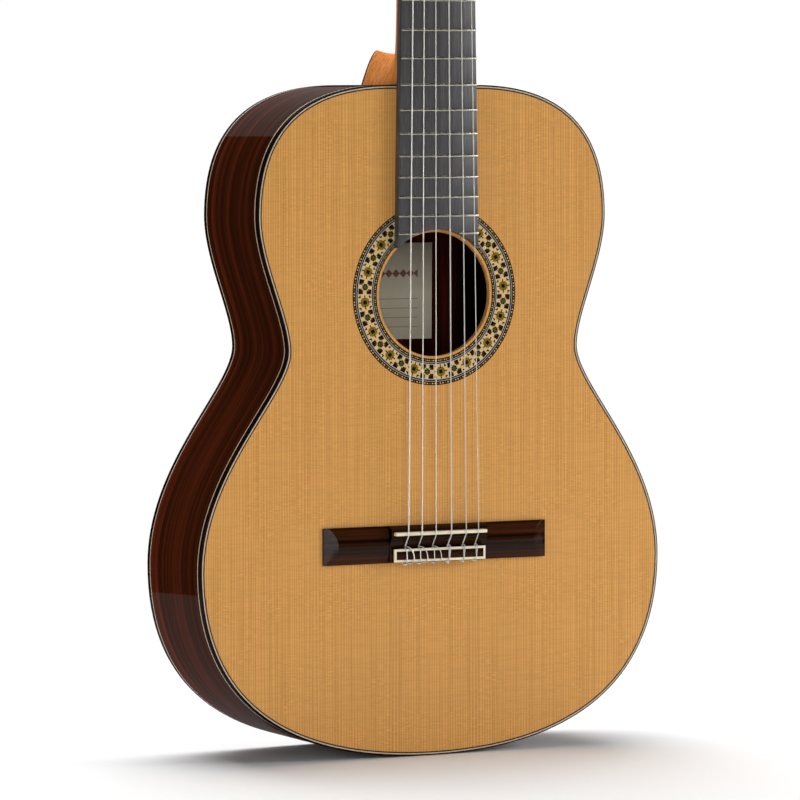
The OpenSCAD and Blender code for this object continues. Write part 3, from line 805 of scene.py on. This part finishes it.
class GUITAR_OT_soundboard(PieceOperator):
    """Finish the soundboard, its doubler and its braces"""

    bl_idname = "guitar.soundboard"
    bl_label = "Soundboard and braces"

    def make(self, sizes):
        finish_node("soundboard", material(cedar_top))
        finish_node("soundhole_doubler", material(doubler_cedar))
        for node in ("harmonic_bars", "fan_braces", "back_braces", "lining_front", "lining_back"):
            finish_node(node, material(spruce))
        finish_node("end_block", material(neck_cedar))
        finish_node("label", material(label_paper))


class GUITAR_OT_bindings(PieceOperator):
    """Make both bindings and the purfling round the outline"""

    bl_idname = "guitar.bindings"
    bl_label = "Bindings and purfling"

    def make(self, sizes):
        height, line = sizes.binding / MM, sizes.line / MM
        dark_w = 1.1
        woods = [material(binding_wood), material(white_line)]
        edge = [(0, height), (0, height - line)] + rounded_edge(sizes.edge / MM)
        front = edge_band("front_binding", edge + [(dark_w, 0), (RIB, 0), (RIB, height)], face_height)
        strip = strip_finder(front)
        paint_faces(front, woods, lambda c, p: 1 if strip(p) in (0, len(edge), len(edge) + 1) else 0)
        smooth(front, 40)
        dress(front, GUITAR, "binding", woods, "binding_front")

        def back_height(p, depth):
            return bench(p[0], p[1], back_z(p[0], p[1], depth))

        def back_line(c, polygon):
            depth = -(c.y - FACE_Y) / MM
            return 1 if depth > back_z(c.x / MM, c.z / MM, height - line) else 0

        back = edge_band("back_binding", edge + [(RIB, 0), (RIB, height)], back_height)
        paint_faces(back, woods, back_line)
        smooth(back, 40)
        dress(back, GUITAR, "binding", woods, "binding_back")
        inner, depth = RIB + sizes.purfling / MM, 1.2
        split = RIB + (inner - RIB) * 0.8
        profile = [(RIB, 0), (split, 0), (inner, 0), (inner, depth), (RIB, depth)]
        lines = [material(black_line), material(cedar_top)]
        purfling = edge_band("front_purfling", profile, face_height)
        strip = strip_finder(purfling)
        paint_faces(purfling, lines, lambda c, p: 1 if strip(p) == 1 else 0)
        dress(purfling, GUITAR, "purfling", lines, "purfling_front")


class GUITAR_OT_ribs(PieceOperator):
    """Make the two bent ribs"""

    bl_idname = "guitar.ribs"
    bl_label = "Ribs"

    def make(self, sizes):
        height, steps = sizes.binding / MM, 8
        half = half_outline(0) + [(x, BODY_LEN) for x in FLAT_XS]
        for side, name in ((-1, "rib_bass"), (1, "rib_treble")):
            rows = []
            for x, y in half:
                low, high = back_z(x, y, height), -height
                rows.append([bench(side * x, y, high + (low - high) * c / steps) for c in range(steps + 1)])
            obj = grid(name + "_wood", rows)
            activate(obj)
            outward = sum(p.normal.x * (1 if p.center.x > 0 else -1) for p in obj.data.polygons)
            if outward < 0:
                edit_all(lambda: bpy.ops.mesh.flip_normals())
            apply_modifier(obj, "SOLIDIFY", thickness=RIB * MM, offset=-1, use_even_offset=True)
            smooth(obj, 50)
            dress(obj, GUITAR, "rosewood", material(rib_wood), name)


class GUITAR_OT_back(PieceOperator):
    """Make the arched back in two halves with its centre strip"""

    bl_idname = "guitar.back"
    bl_label = "Back"

    def make(self, sizes):
        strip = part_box("back_strip")[1].x / MM
        steps = 24
        for side, name in ((-1, "back_bass"), (1, "back_treble")):
            rows = []
            for x, y in half_outline(RIB):
                x = max(x, strip)
                reach = [strip + (x - strip) * c / steps for c in range(steps + 1)]
                rows.append([bench(side * c, y, back_z(c, y)) for c in reach])
            obj = grid(name + "_wood", rows)
            self.thicken(obj, 1)
            dress(obj, GUITAR, "rosewood", [material(back_wood), material(inner_wood)], name)
        line = strip * 0.45
        rows = [[bench(x, y, back_z(x, y)) for x in (-strip, -line, line, strip)]
                for y in [RIB + (BODY_LEN - 2 * RIB) * i / 60 for i in range(61)]]
        obj = grid("back_strip_wood", rows)
        self.thicken(obj)
        woods = [material(binding_wood), material(white_line)]
        paint_faces(obj, woods, lambda c, p: 0 if abs(c.x) < line * MM else 1)
        dress(obj, GUITAR, "maple", woods, "back_strip")

    @staticmethod
    def thicken(obj, inner=0):
        activate(obj)
        if sum(p.normal.y for p in obj.data.polygons) < 0:
            edit_all(lambda: bpy.ops.mesh.flip_normals())
        apply_modifier(obj, "SOLIDIFY", thickness=2.6 * MM, offset=-1, material_offset=inner)
        smooth(obj, 50)


# The upper halves of the mosaic motifs, mirrored below: one letter a stick of wood
STICKS = {"k": BLACK, "c": CREAM, "g": GOLD, "e": GREEN, "b": BROWN, "v": GREY}
STAR = [
    "ckcccbccckc",
    "kkcccbccckk",
    "cccggbggccc",
    "ccgggggggcc",
    "ccggkkkggcc",
    "bbbgkkkgbbb",
]
CROSS = [
    "kkkkccckkkk",
    "kkkbcccbkkk",
    "kkbbcccbbkk",
    "kbbcgkgcbbk",
    "ccckkekkccc",
    "cccbeeebccc",
]
STAR += STAR[-2::-1]
CROSS += CROSS[-2::-1]
ROPE = (CREAM, BLACK, GOLD, BLACK, CREAM, BLACK)


class GUITAR_OT_rosette(PieceOperator):
    """Lay the rosette from small sticks of dyed wood"""

    bl_idname = "guitar.rosette"
    bl_label = "Rosette"

    def make(self, sizes):
        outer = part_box("rosette")[1].x / MM
        width, mosaic_w, pairs = 19.3, 9.9, 16
        motif = len(STAR)
        columns = pairs * 2 * (motif + 1)
        bands = [("k", 0.8), ("rope", 0.8), ("k", 0.9), ("v", 0.35), ("k", 0.95), ("v", 0.5)]
        first = len(bands)
        bands += [("mosaic", mosaic_w / motif)] * motif
        bands += [("v", 0.45), ("k", 0.8), ("v", 0.35), ("k", 0.9), ("rope", 0.7), ("k", 0.9)]
        total = sum(each for _, each in bands)
        radii = [outer]
        for _, each in bands:
            radii.append(radii[-1] - each * width / total)
        rows = []
        for j in range(columns + 1):
            a = 2 * math.pi * j / columns
            rows.append([bench(r * math.sin(a), HOLE_Z - r * math.cos(a), 0.02) for r in radii])
        obj = grid("rosette_mosaic", rows, closed_rows=True)
        woods = [material(each) for each in MOSAIC]

        def choose(centre, polygon):
            x, z = centre.x / MM, centre.z / MM - HOLE_Z
            r = math.hypot(x, z)
            band = next(i for i in range(len(bands)) if radii[i + 1] <= r + 0.05 and r < radii[i] + 0.05)
            j = int((math.atan2(x, -z) / (2 * math.pi)) % 1 * columns)
            kind = bands[band][0]
            if kind in STICKS:
                return STICKS[kind]
            if kind == "rope":
                return ROPE[j % len(ROPE)]
            cell, place = divmod(j, motif + 1)
            if place == motif:
                return CREAM
            return STICKS[(STAR if cell % 2 == 0 else CROSS)[band - first][place]]

        paint_faces(obj, woods, choose)
        if sum(p.normal.y for p in obj.data.polygons) > 0:
            activate(obj)
            edit_all(lambda: bpy.ops.mesh.flip_normals())
        apply_modifier(obj, "SOLIDIFY", thickness=1.1 * MM, offset=-1)
        dress(obj, GUITAR, "rosette_inlay", woods, "rosette")


# ---- neck and head


def board_half(y):
    return NUT_HALF + (31 - NUT_HALF) / (NUT_LOW - BODY_LEN) * (NUT_LOW - y)


class GUITAR_OT_neck(PieceOperator):
    """Make the neck with its heel, and the heel cap"""

    bl_idname = "guitar.neck"
    bl_label = "Neck and heel"

    def make(self, sizes):
        cap_t = 2.5
        floor = -DEPTH_NECK + cap_t
        turn_y = BODY_LEN + 72
        neck_t, nut_t, nut_run = 17.5, 15.5, 34
        heel_half = 12.5
        tiny, far = 1e-6, 1e9
        ridge = ((BODY_LEN + 26, floor), (BODY_LEN + 19, floor + 40),
                 (BODY_LEN + 22, -neck_t), (turn_y, -neck_t))
        sides = 40

        def ring(top, root, half, point, power):
            row = []
            for i in range(sides + 1):
                c = math.cos(math.pi * i / sides)
                depth = max(0.0, 1 - abs(c) ** point) ** power
                y, z = (r + (t - r) * depth for t, r in zip(top, root))
                row.append(bench(half * c, y, z))
            return ring_points(row)

        rows = []
        steps = 40
        for k in range(steps + 1):
            t = k / steps
            top = bezier(ridge, t)
            run, rise = turn_y - top[0], top[1] - floor
            reach = min((turn_y - BODY_LEN) / run if run > tiny else far,
                        -floor / rise if rise > tiny else far)
            root = (turn_y - reach * run, floor + reach * rise)
            if root[1] < -0.01:
                half = heel_half + (board_half(BODY_LEN) - heel_half) * (1 - root[1] / floor) ** 1.7
            else:
                half = board_half(max(root[0], BODY_LEN))
            rows.append(ring(top, root, half, 1.5 + 0.5 * t, 1 - 0.5 * t))
        seat = HEAD_Z0 - HEAD_T * math.cos(HEAD_LEAN)
        for k in range(1, 21):
            y = turn_y + (NUT_LOW - nut_run - turn_y) * k / 20
            depth = neck_t + (nut_t - neck_t) * k / 20
            rows.append(ring((y, -depth), (y, 0), board_half(y), 2, 0.5))
        for k in range(1, 13):
            f = k / 12
            y = NUT_LOW - nut_run + nut_run * f
            depth = nut_t + (-seat - nut_t) * f**3
            rows.append(ring((y, -depth), (y, 0), board_half(y), 2 + 1.4 * f**2, 0.5))
        obj = grid("neck_wood", rows, closed_columns=True, capped=True)
        bevel(obj, 0.25, 2, 50)
        smooth(obj, 45)
        dress(obj, GUITAR, "neck_cedar", material(neck_cedar), "neck")
        rounded("heel_cap_wood", "heel_cap", "rosewood", veneer_wood, 0.5)


class GUITAR_OT_head(PieceOperator):
    """Round the slotted head and its veneer"""

    bl_idname = "guitar.head"
    bl_label = "Head"

    def make(self, sizes):
        rounded("head_wood", "head", "neck_cedar", neck_cedar, 0.7, 3)
        rounded("head_face", "head_veneer", "rosewood", veneer_wood, 0.3)
        rounded("nut_bone", "nut", "bone", bone, 0.35)


class GUITAR_OT_fingerboard(PieceOperator):
    """Round the fingerboard's edges and polish the frets"""

    bl_idname = "guitar.fingerboard"
    bl_label = "Fingerboard and frets"

    def make(self, sizes):
        rounded("fingerboard_ebony", "fingerboard", "ebony", ebony, 0.35)
        rounded("frets_nickel", "frets", "nickel", nickel, 0.12)


# ---- bridge and strings


class GUITAR_OT_bridge(PieceOperator):
    """Make the bridge, its saddle and the bone frame of its tie block"""

    bl_idname = "guitar.bridge"
    bl_label = "Bridge"

    def make(self, sizes):
        block_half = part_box("saddle")[1].x / MM + 2
        middle = refined("bridge_middle", "bridge", 0)
        for side in (-1, 1):
            cut((side * block_half * MM, 0, 0), (side, 0, 0))
        bevel(middle, 0.35, 2)
        smooth(middle, 30)
        bridge = join("bridge_wood_block", [middle, self.wing(-1, block_half), self.wing(1, block_half)])
        dress(bridge, GUITAR, "bridge_rosewood", material(bridge_wood), "bridge")
        rounded("saddle_bone", "saddle", "bone", bone, 0.7, 3)
        low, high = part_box("tie_block_trim")
        reach = high.x / MM - 2.1
        pieces = [refined("tie_block_bone", "tie_block_trim", 0.25)]
        for y in (low.z / MM + 2.5, high.z / MM - 2.5):
            corners = [(-reach, y - 0.25), (reach, y - 0.25), (reach, y + 0.25), (-reach, y + 0.25)]
            top = -(low.y - FACE_Y) / MM
            line = [bench(*c, top - 0.6) for c in corners]
            pieces.append(prism("tie_block_line", line, (0, -0.58 * MM, 0)))
        trim = join("tie_block_frame", pieces)
        dress(trim, GUITAR, "bone", material(bone), "tie_block_trim")

    @staticmethod
    def wing(side, start):
        """A wing crowned across its width, with a flat facet sloping down to its end."""
        low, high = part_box("bridge")
        back, front, end = low.z / MM, high.z / MM, high.x / MM
        crown, height, facet, end_height = 39, 5, 11, 1.2
        middle, half = (back + front) / 2, (front - back) / 2
        profile = [(front, 0.0), (back, 0.0)]
        for i in range(25):
            y = -half + 2 * half * i / 24
            profile.append((middle + y, height - crown + math.sqrt(crown * crown - y * y)))
        obj = prism("bridge_wing", [bench(side * start, y, z) for y, z in profile],
                    (side * (end - start) * MM, 0, 0))
        slope = Vector((side * (height - end_height), -facet, 0)).normalized()
        cut(bench(side * end, middle, end_height), slope)
        edit_all(face_out)
        bevel(obj, 0.3, 2, 14)
        smooth(obj, 12)
        return obj


# Radii, spreads and sideways steps of strings 1 to 6, and where they meet their rollers
STRING_R = (0.36, 0.41, 0.51, 0.37, 0.45, 0.55)
SADDLE_SPREAD = 59
NUT_SPREAD = 43
STRING_STEP = (0.2, 1.8, 1.5, 0.7, 1.1, 1.8)
ROLLER_XS = (19.5, 15, 12.5)


def string_x(k, spread):
    return spread * (3.5 - k) / 5 + STRING_STEP[k - 1]


def side_of(k):
    return 1 if k <= 3 else -1


def place_of(k):
    return k - 1 if k <= 3 else 6 - k


class GUITAR_OT_strings(PieceOperator):
    """Run the six strings, tie them at the bridge and wind them on the rollers"""

    bl_idname = "guitar.strings"
    bl_label = "Strings"

    def make(self, sizes):
        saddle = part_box("saddle")
        saddle_y = (saddle[0].z + saddle[1].z) / 2 / MM
        saddle_top = -(saddle[0].y - FACE_Y) / MM
        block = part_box("tie_block_trim")
        front, back = block[1].z / MM, block[0].z / MM
        top = -(block[0].y - FACE_Y) / MM
        hole_z = 6.2
        over_nut = 8.5
        for k in range(1, 7):
            r = STRING_R[k - 1]
            xs, xn = string_x(k, SADDLE_SPREAD), string_x(k, NUT_SPREAD)
            wire = material(wound_silver) if k > 3 else material(nylon)
            slot = "wound_string" if k > 3 else "nylon_string"
            wx = side_of(k) * ROLLER_XS[place_of(k)]
            ry = FIRST_ROLLER + ROLLER_GAP * place_of(k)
            over = AXIS_Z + ROLLER_R + r + 0.15
            end = head_point(wx, ry, over)
            near = head_point(wx, ry - 6, over + 0.9)
            run = tube(f"string_{k}_run", [
                bench(xs, front - 1.5, hole_z), bench(xs, front + 1.2, hole_z + 0.4),
                bench(xs, saddle_y - 1.5, saddle_top + r * 0.7), bench(xs, saddle_y, saddle_top + r),
                bench(xs, saddle_y + 2, saddle_top + r),
                bench(xn, NUT_LOW, over_nut), bench(xn, NUT_TOP, over_nut), near, end,
            ], r, smooth_path=False)
            knot = self.knot(k, xs, r, front, back, top, hole_z)
            piece = join(f"string_{k}_wire", [run, knot])
            dress(piece, GUITAR, slot, wire, f"string_{k}")
            coil = self.winding(k, wx, ry, r)
            dress(coil, f"roller_{k}", slot, wire)

    @staticmethod
    def knot(k, x, r, front, back, top, hole_z):
        """The tail comes out behind the block, crosses its top, loops the string and tucks under itself."""
        lift = top + r + 0.03
        middle = (front + back) / 2
        wide, near = (5.8, 0.2) if k > 3 else (0.55, -0.45)
        cross = 0 if k > 3 else -2 * wide
        path = [
            (0, back + 2, hole_z), (0, back - 0.9, hole_z), (near * 0.5, back - r - 0.5, hole_z + 1.3),
            (near, back + 0.3, lift), (near, middle, lift + 0.05), (near - 0.3, front - 0.7, lift),
            (near - 0.7, front + r + 0.3, top - 0.9), (0.1, front + 2 * r + 0.5, hole_z + 0.4),
            (0.9 + wide * 0.1, front + 2 * r + 0.3, top - 1.5), (wide * 0.45 + 0.4, front + r, top - 0.1),
            (wide * 0.72 + 0.2, front - 1.3, lift + 0.05),
            (wide + cross * 0.5, middle, lift + (r if k < 4 else 0)),
            (wide + cross * 0.8, back + 0.5, lift), (wide * 0.95 + cross, back - r - 0.3, top - 1.0),
            (wide * 0.5, back - r - 0.6, hole_z + 0.9), (0.1, back - 3 * r - 0.4, hole_z + 1.0),
            (-1.6, back - r - 0.5, hole_z + 1.3), (-2.6, back - r - 0.3, hole_z + 0.6),
        ]
        return tube(f"knot_{k}", [bench(x + dx, y, z) for dx, y, z in path], r * 0.95)

    @staticmethod
    def winding(k, x, y, r):
        """Turns round the roller, towards the middle of the slot, with the tucked tail."""
        turns, count = 3.0, 54
        pitch = side_of(k) * (2 * r + 0.06) * 0.62
        radius = ROLLER_R + r + 0.05
        points = []
        for i in range(count + 1):
            turn = turns * i / count
            a = 2 * math.pi * turn
            height = AXIS_Z + radius * math.cos(a)
            points.append(head_point(x + pitch * turn, y + radius * math.sin(a), height))
        return tube(f"string_{k}_winding", points, r)


# ---- machine heads


class GUITAR_OT_machines(PieceOperator):
    """Finish the machine heads and make their pearl buttons"""

    bl_idname = "guitar.machines"
    bl_label = "Machine heads"

    def make(self, sizes):
        rounded("tuner_plates_gilt", "tuner_plates", "gilt_brass", gilt_brass, 0.12, 1)
        finish_node("plate_screws", material(gilt_brass))
        for k in range(1, 7):
            finish_node(f"gear_{k}", material(gilt_brass))
            finish_node(f"worm_{k}", material(gilt_brass))
            rounded(f"roller_{k}_white", f"roller_{k}", "roller_white", roller_white, 0.2, body=f"roller_{k}")
            self.button(k)

    @staticmethod
    def button(k):
        """An oval pearl button on a round collar."""
        x = side_of(k) * GEAR_X
        y = FIRST_ROLLER + ROLLER_GAP * place_of(k) + WORM_GAP
        top = -HEAD_T - 6
        outline = [(2, 3.0, 3.0), (1.2, 3.2, 3.2), (0, 3.1, 3.1), (-1.2, 2.8, 2.8), (-2.2, 3.4, 2.9),
                   (-3.6, 5.0, 3.4), (-5.5, 6.6, 3.9), (-8, 7.6, 4.2), (-10.5, 7.9, 4.25), (-13, 7.5, 4.1),
                   (-15.2, 6.4, 3.7), (-17, 4.6, 3.0), (-18.3, 2.4, 1.8), (-18.8, 0.6, 0.5)]
        rows = []
        for down, wide, thick in outline:
            row = []
            for i in range(32):
                a = 2 * math.pi * i / 32
                c, s = math.cos(a), math.sin(a)
                row.append(head_point(x + thick * c, y + wide * s, top + down))
            rows.append(ring_points(row))
        obj = grid(f"button_{k}_pearl", rows, closed_columns=True, capped=True)
        smooth(obj, 50)
        dress(obj, f"key_{k}", "button_pearl", material(pearl), f"button_{k}")


# ---- stage


class GUITAR_OT_stage(PieceOperator):
    """Set the floor, the soft lights and the camera"""

    bl_idname = "guitar.stage"
    bl_label = "Stage"

    def make(self, sizes):
        self.floor()
        self.world()
        self.lights()
        self.camera()
        bpy.context.scene.view_settings.view_transform = "Standard"

    @staticmethod
    def floor():
        deselect()
        bpy.ops.mesh.primitive_plane_add(size=1)
        floor = bpy.context.object
        floor.name = "pale_floor"
        floor.scale = (3.4, 2.0, 1)
        floor.location = (0, -0.38, 0)
        bpy.ops.object.transform_apply(location=True, rotation=True, scale=True)
        s = Shader("pale_floor", Specular_IOR_Level=0.0)
        cloud = s.grain((3, 3, 3), 2)
        s.colour(s.mix(cloud, srgb(242, 242, 242), srgb(245, 245, 245)))
        s.rough(0.9)
        floor.data.materials.append(s.material)

    @staticmethod
    def world():
        world = bpy.data.worlds.new("studio")
        bpy.context.scene.world = world
        world.use_nodes = True
        tree = world.node_tree
        tree.nodes.clear()
        out = tree.nodes.new("ShaderNodeOutputWorld")
        mixer = tree.nodes.new("ShaderNodeMixShader")
        path = tree.nodes.new("ShaderNodeLightPath")
        tree.links.new(path.outputs["Is Camera Ray"], mixer.inputs[0])
        for slot, strength in ((1, 0.05), (2, 1.02)):
            light = tree.nodes.new("ShaderNodeBackground")
            light.inputs[0].default_value = (1, 1, 1, 1)
            light.inputs[1].default_value = strength
            tree.links.new(light.outputs[0], mixer.inputs[slot])
        tree.links.new(mixer.outputs[0], out.inputs[0])

    @staticmethod
    def lights():
        lamps = [
            ("right_key", (2.7, -1.5, 0.95), (0, 0, 0.35), 1.1, 1.5, 61),
            ("front_fill", (-0.72, -3.0, 0.72), (0, 0, 0.33), 0.9, 2.0, 22),
            ("left_side", (-2.8, -0.9, 0.6), (0, 0, 0.35), 0.5, 1.3, 19),
            ("overhead", (0.15, 0.95, 2.8), (0, 0.1, 0), 3.0, 2.4, 112),
            ("shoulder_box", (0.36, 2.5, 1.5), (-0.1, 0, 0.45), 1.95, 1.5, 14),
        ]
        for name, place, aim, wide, tall, power in lamps:
            bpy.ops.object.light_add(type="AREA", location=place)
            lamp = bpy.context.object
            lamp.name = name
            lamp.data.shape = "RECTANGLE"
            lamp.data.size, lamp.data.size_y = wide, tall
            lamp.data.energy = power
            lamp.rotation_euler = (Vector(aim) - Vector(place)).to_track_quat("-Z", "Y").to_euler()

    @staticmethod
    def camera():
        turn, tilt, reach = math.radians(27.04), math.radians(2.28), 3.7156
        aim = bench(0, 330, 0)
        forward = Vector((math.sin(turn) * math.cos(tilt), math.cos(turn) * math.cos(tilt), -math.sin(tilt)))
        bpy.ops.object.camera_add(location=aim - forward * reach)
        camera = bpy.context.object
        camera.rotation_euler = forward.to_track_quat("-Z", "Y").to_euler()
        camera.data.sensor_width = 36
        camera.data.lens = 229.3
        camera.data.shift_x = -0.0432
        camera.data.shift_y = -0.1195
        camera.data.clip_start = 0.1
        camera.data.clip_end = 50
        bpy.context.scene.camera = camera


# ---- panel and registration

OPERATORS = (
    GUITAR_OT_soundboard,
    GUITAR_OT_bindings,
    GUITAR_OT_ribs,
    GUITAR_OT_back,
    GUITAR_OT_rosette,
    GUITAR_OT_neck,
    GUITAR_OT_head,
    GUITAR_OT_fingerboard,
    GUITAR_OT_bridge,
    GUITAR_OT_strings,
    GUITAR_OT_machines,
    GUITAR_OT_stage,
)


class GUITAR_PT_panel(bpy.types.Panel):
    """Sizes, colours and the steps that make the guitar"""

    bl_label = "Classical Guitar"
    bl_space_type = "VIEW_3D"
    bl_region_type = "UI"
    bl_category = "Guitar"

    def draw(self, context):
        column = self.layout.column(align=True)
        for group in (context.scene.guitar_sizes, context.scene.guitar_finish):
            for name in group.__annotations__:
                column.prop(group, name)
        for operator in OPERATORS:
            self.layout.operator(operator.bl_idname)


CLASSES = (GuitarSizes, GuitarFinish, *OPERATORS, GUITAR_PT_panel)


def register():
    for each in CLASSES:
        bpy.utils.register_class(each)
    bpy.types.Scene.guitar_sizes = bpy.props.PointerProperty(type=GuitarSizes)
    bpy.types.Scene.guitar_finish = bpy.props.PointerProperty(type=GuitarFinish)


def unregister():
    del bpy.types.Scene.guitar_finish
    del bpy.types.Scene.guitar_sizes
    for each in reversed(CLASSES):
        bpy.utils.unregister_class(each)


def main():
    register()
    for operator in OPERATORS:
        group, name = operator.bl_idname.split(".")
        getattr(getattr(bpy.ops, group), name)()
    deselect()


if __name__ == "__main__":
    main()
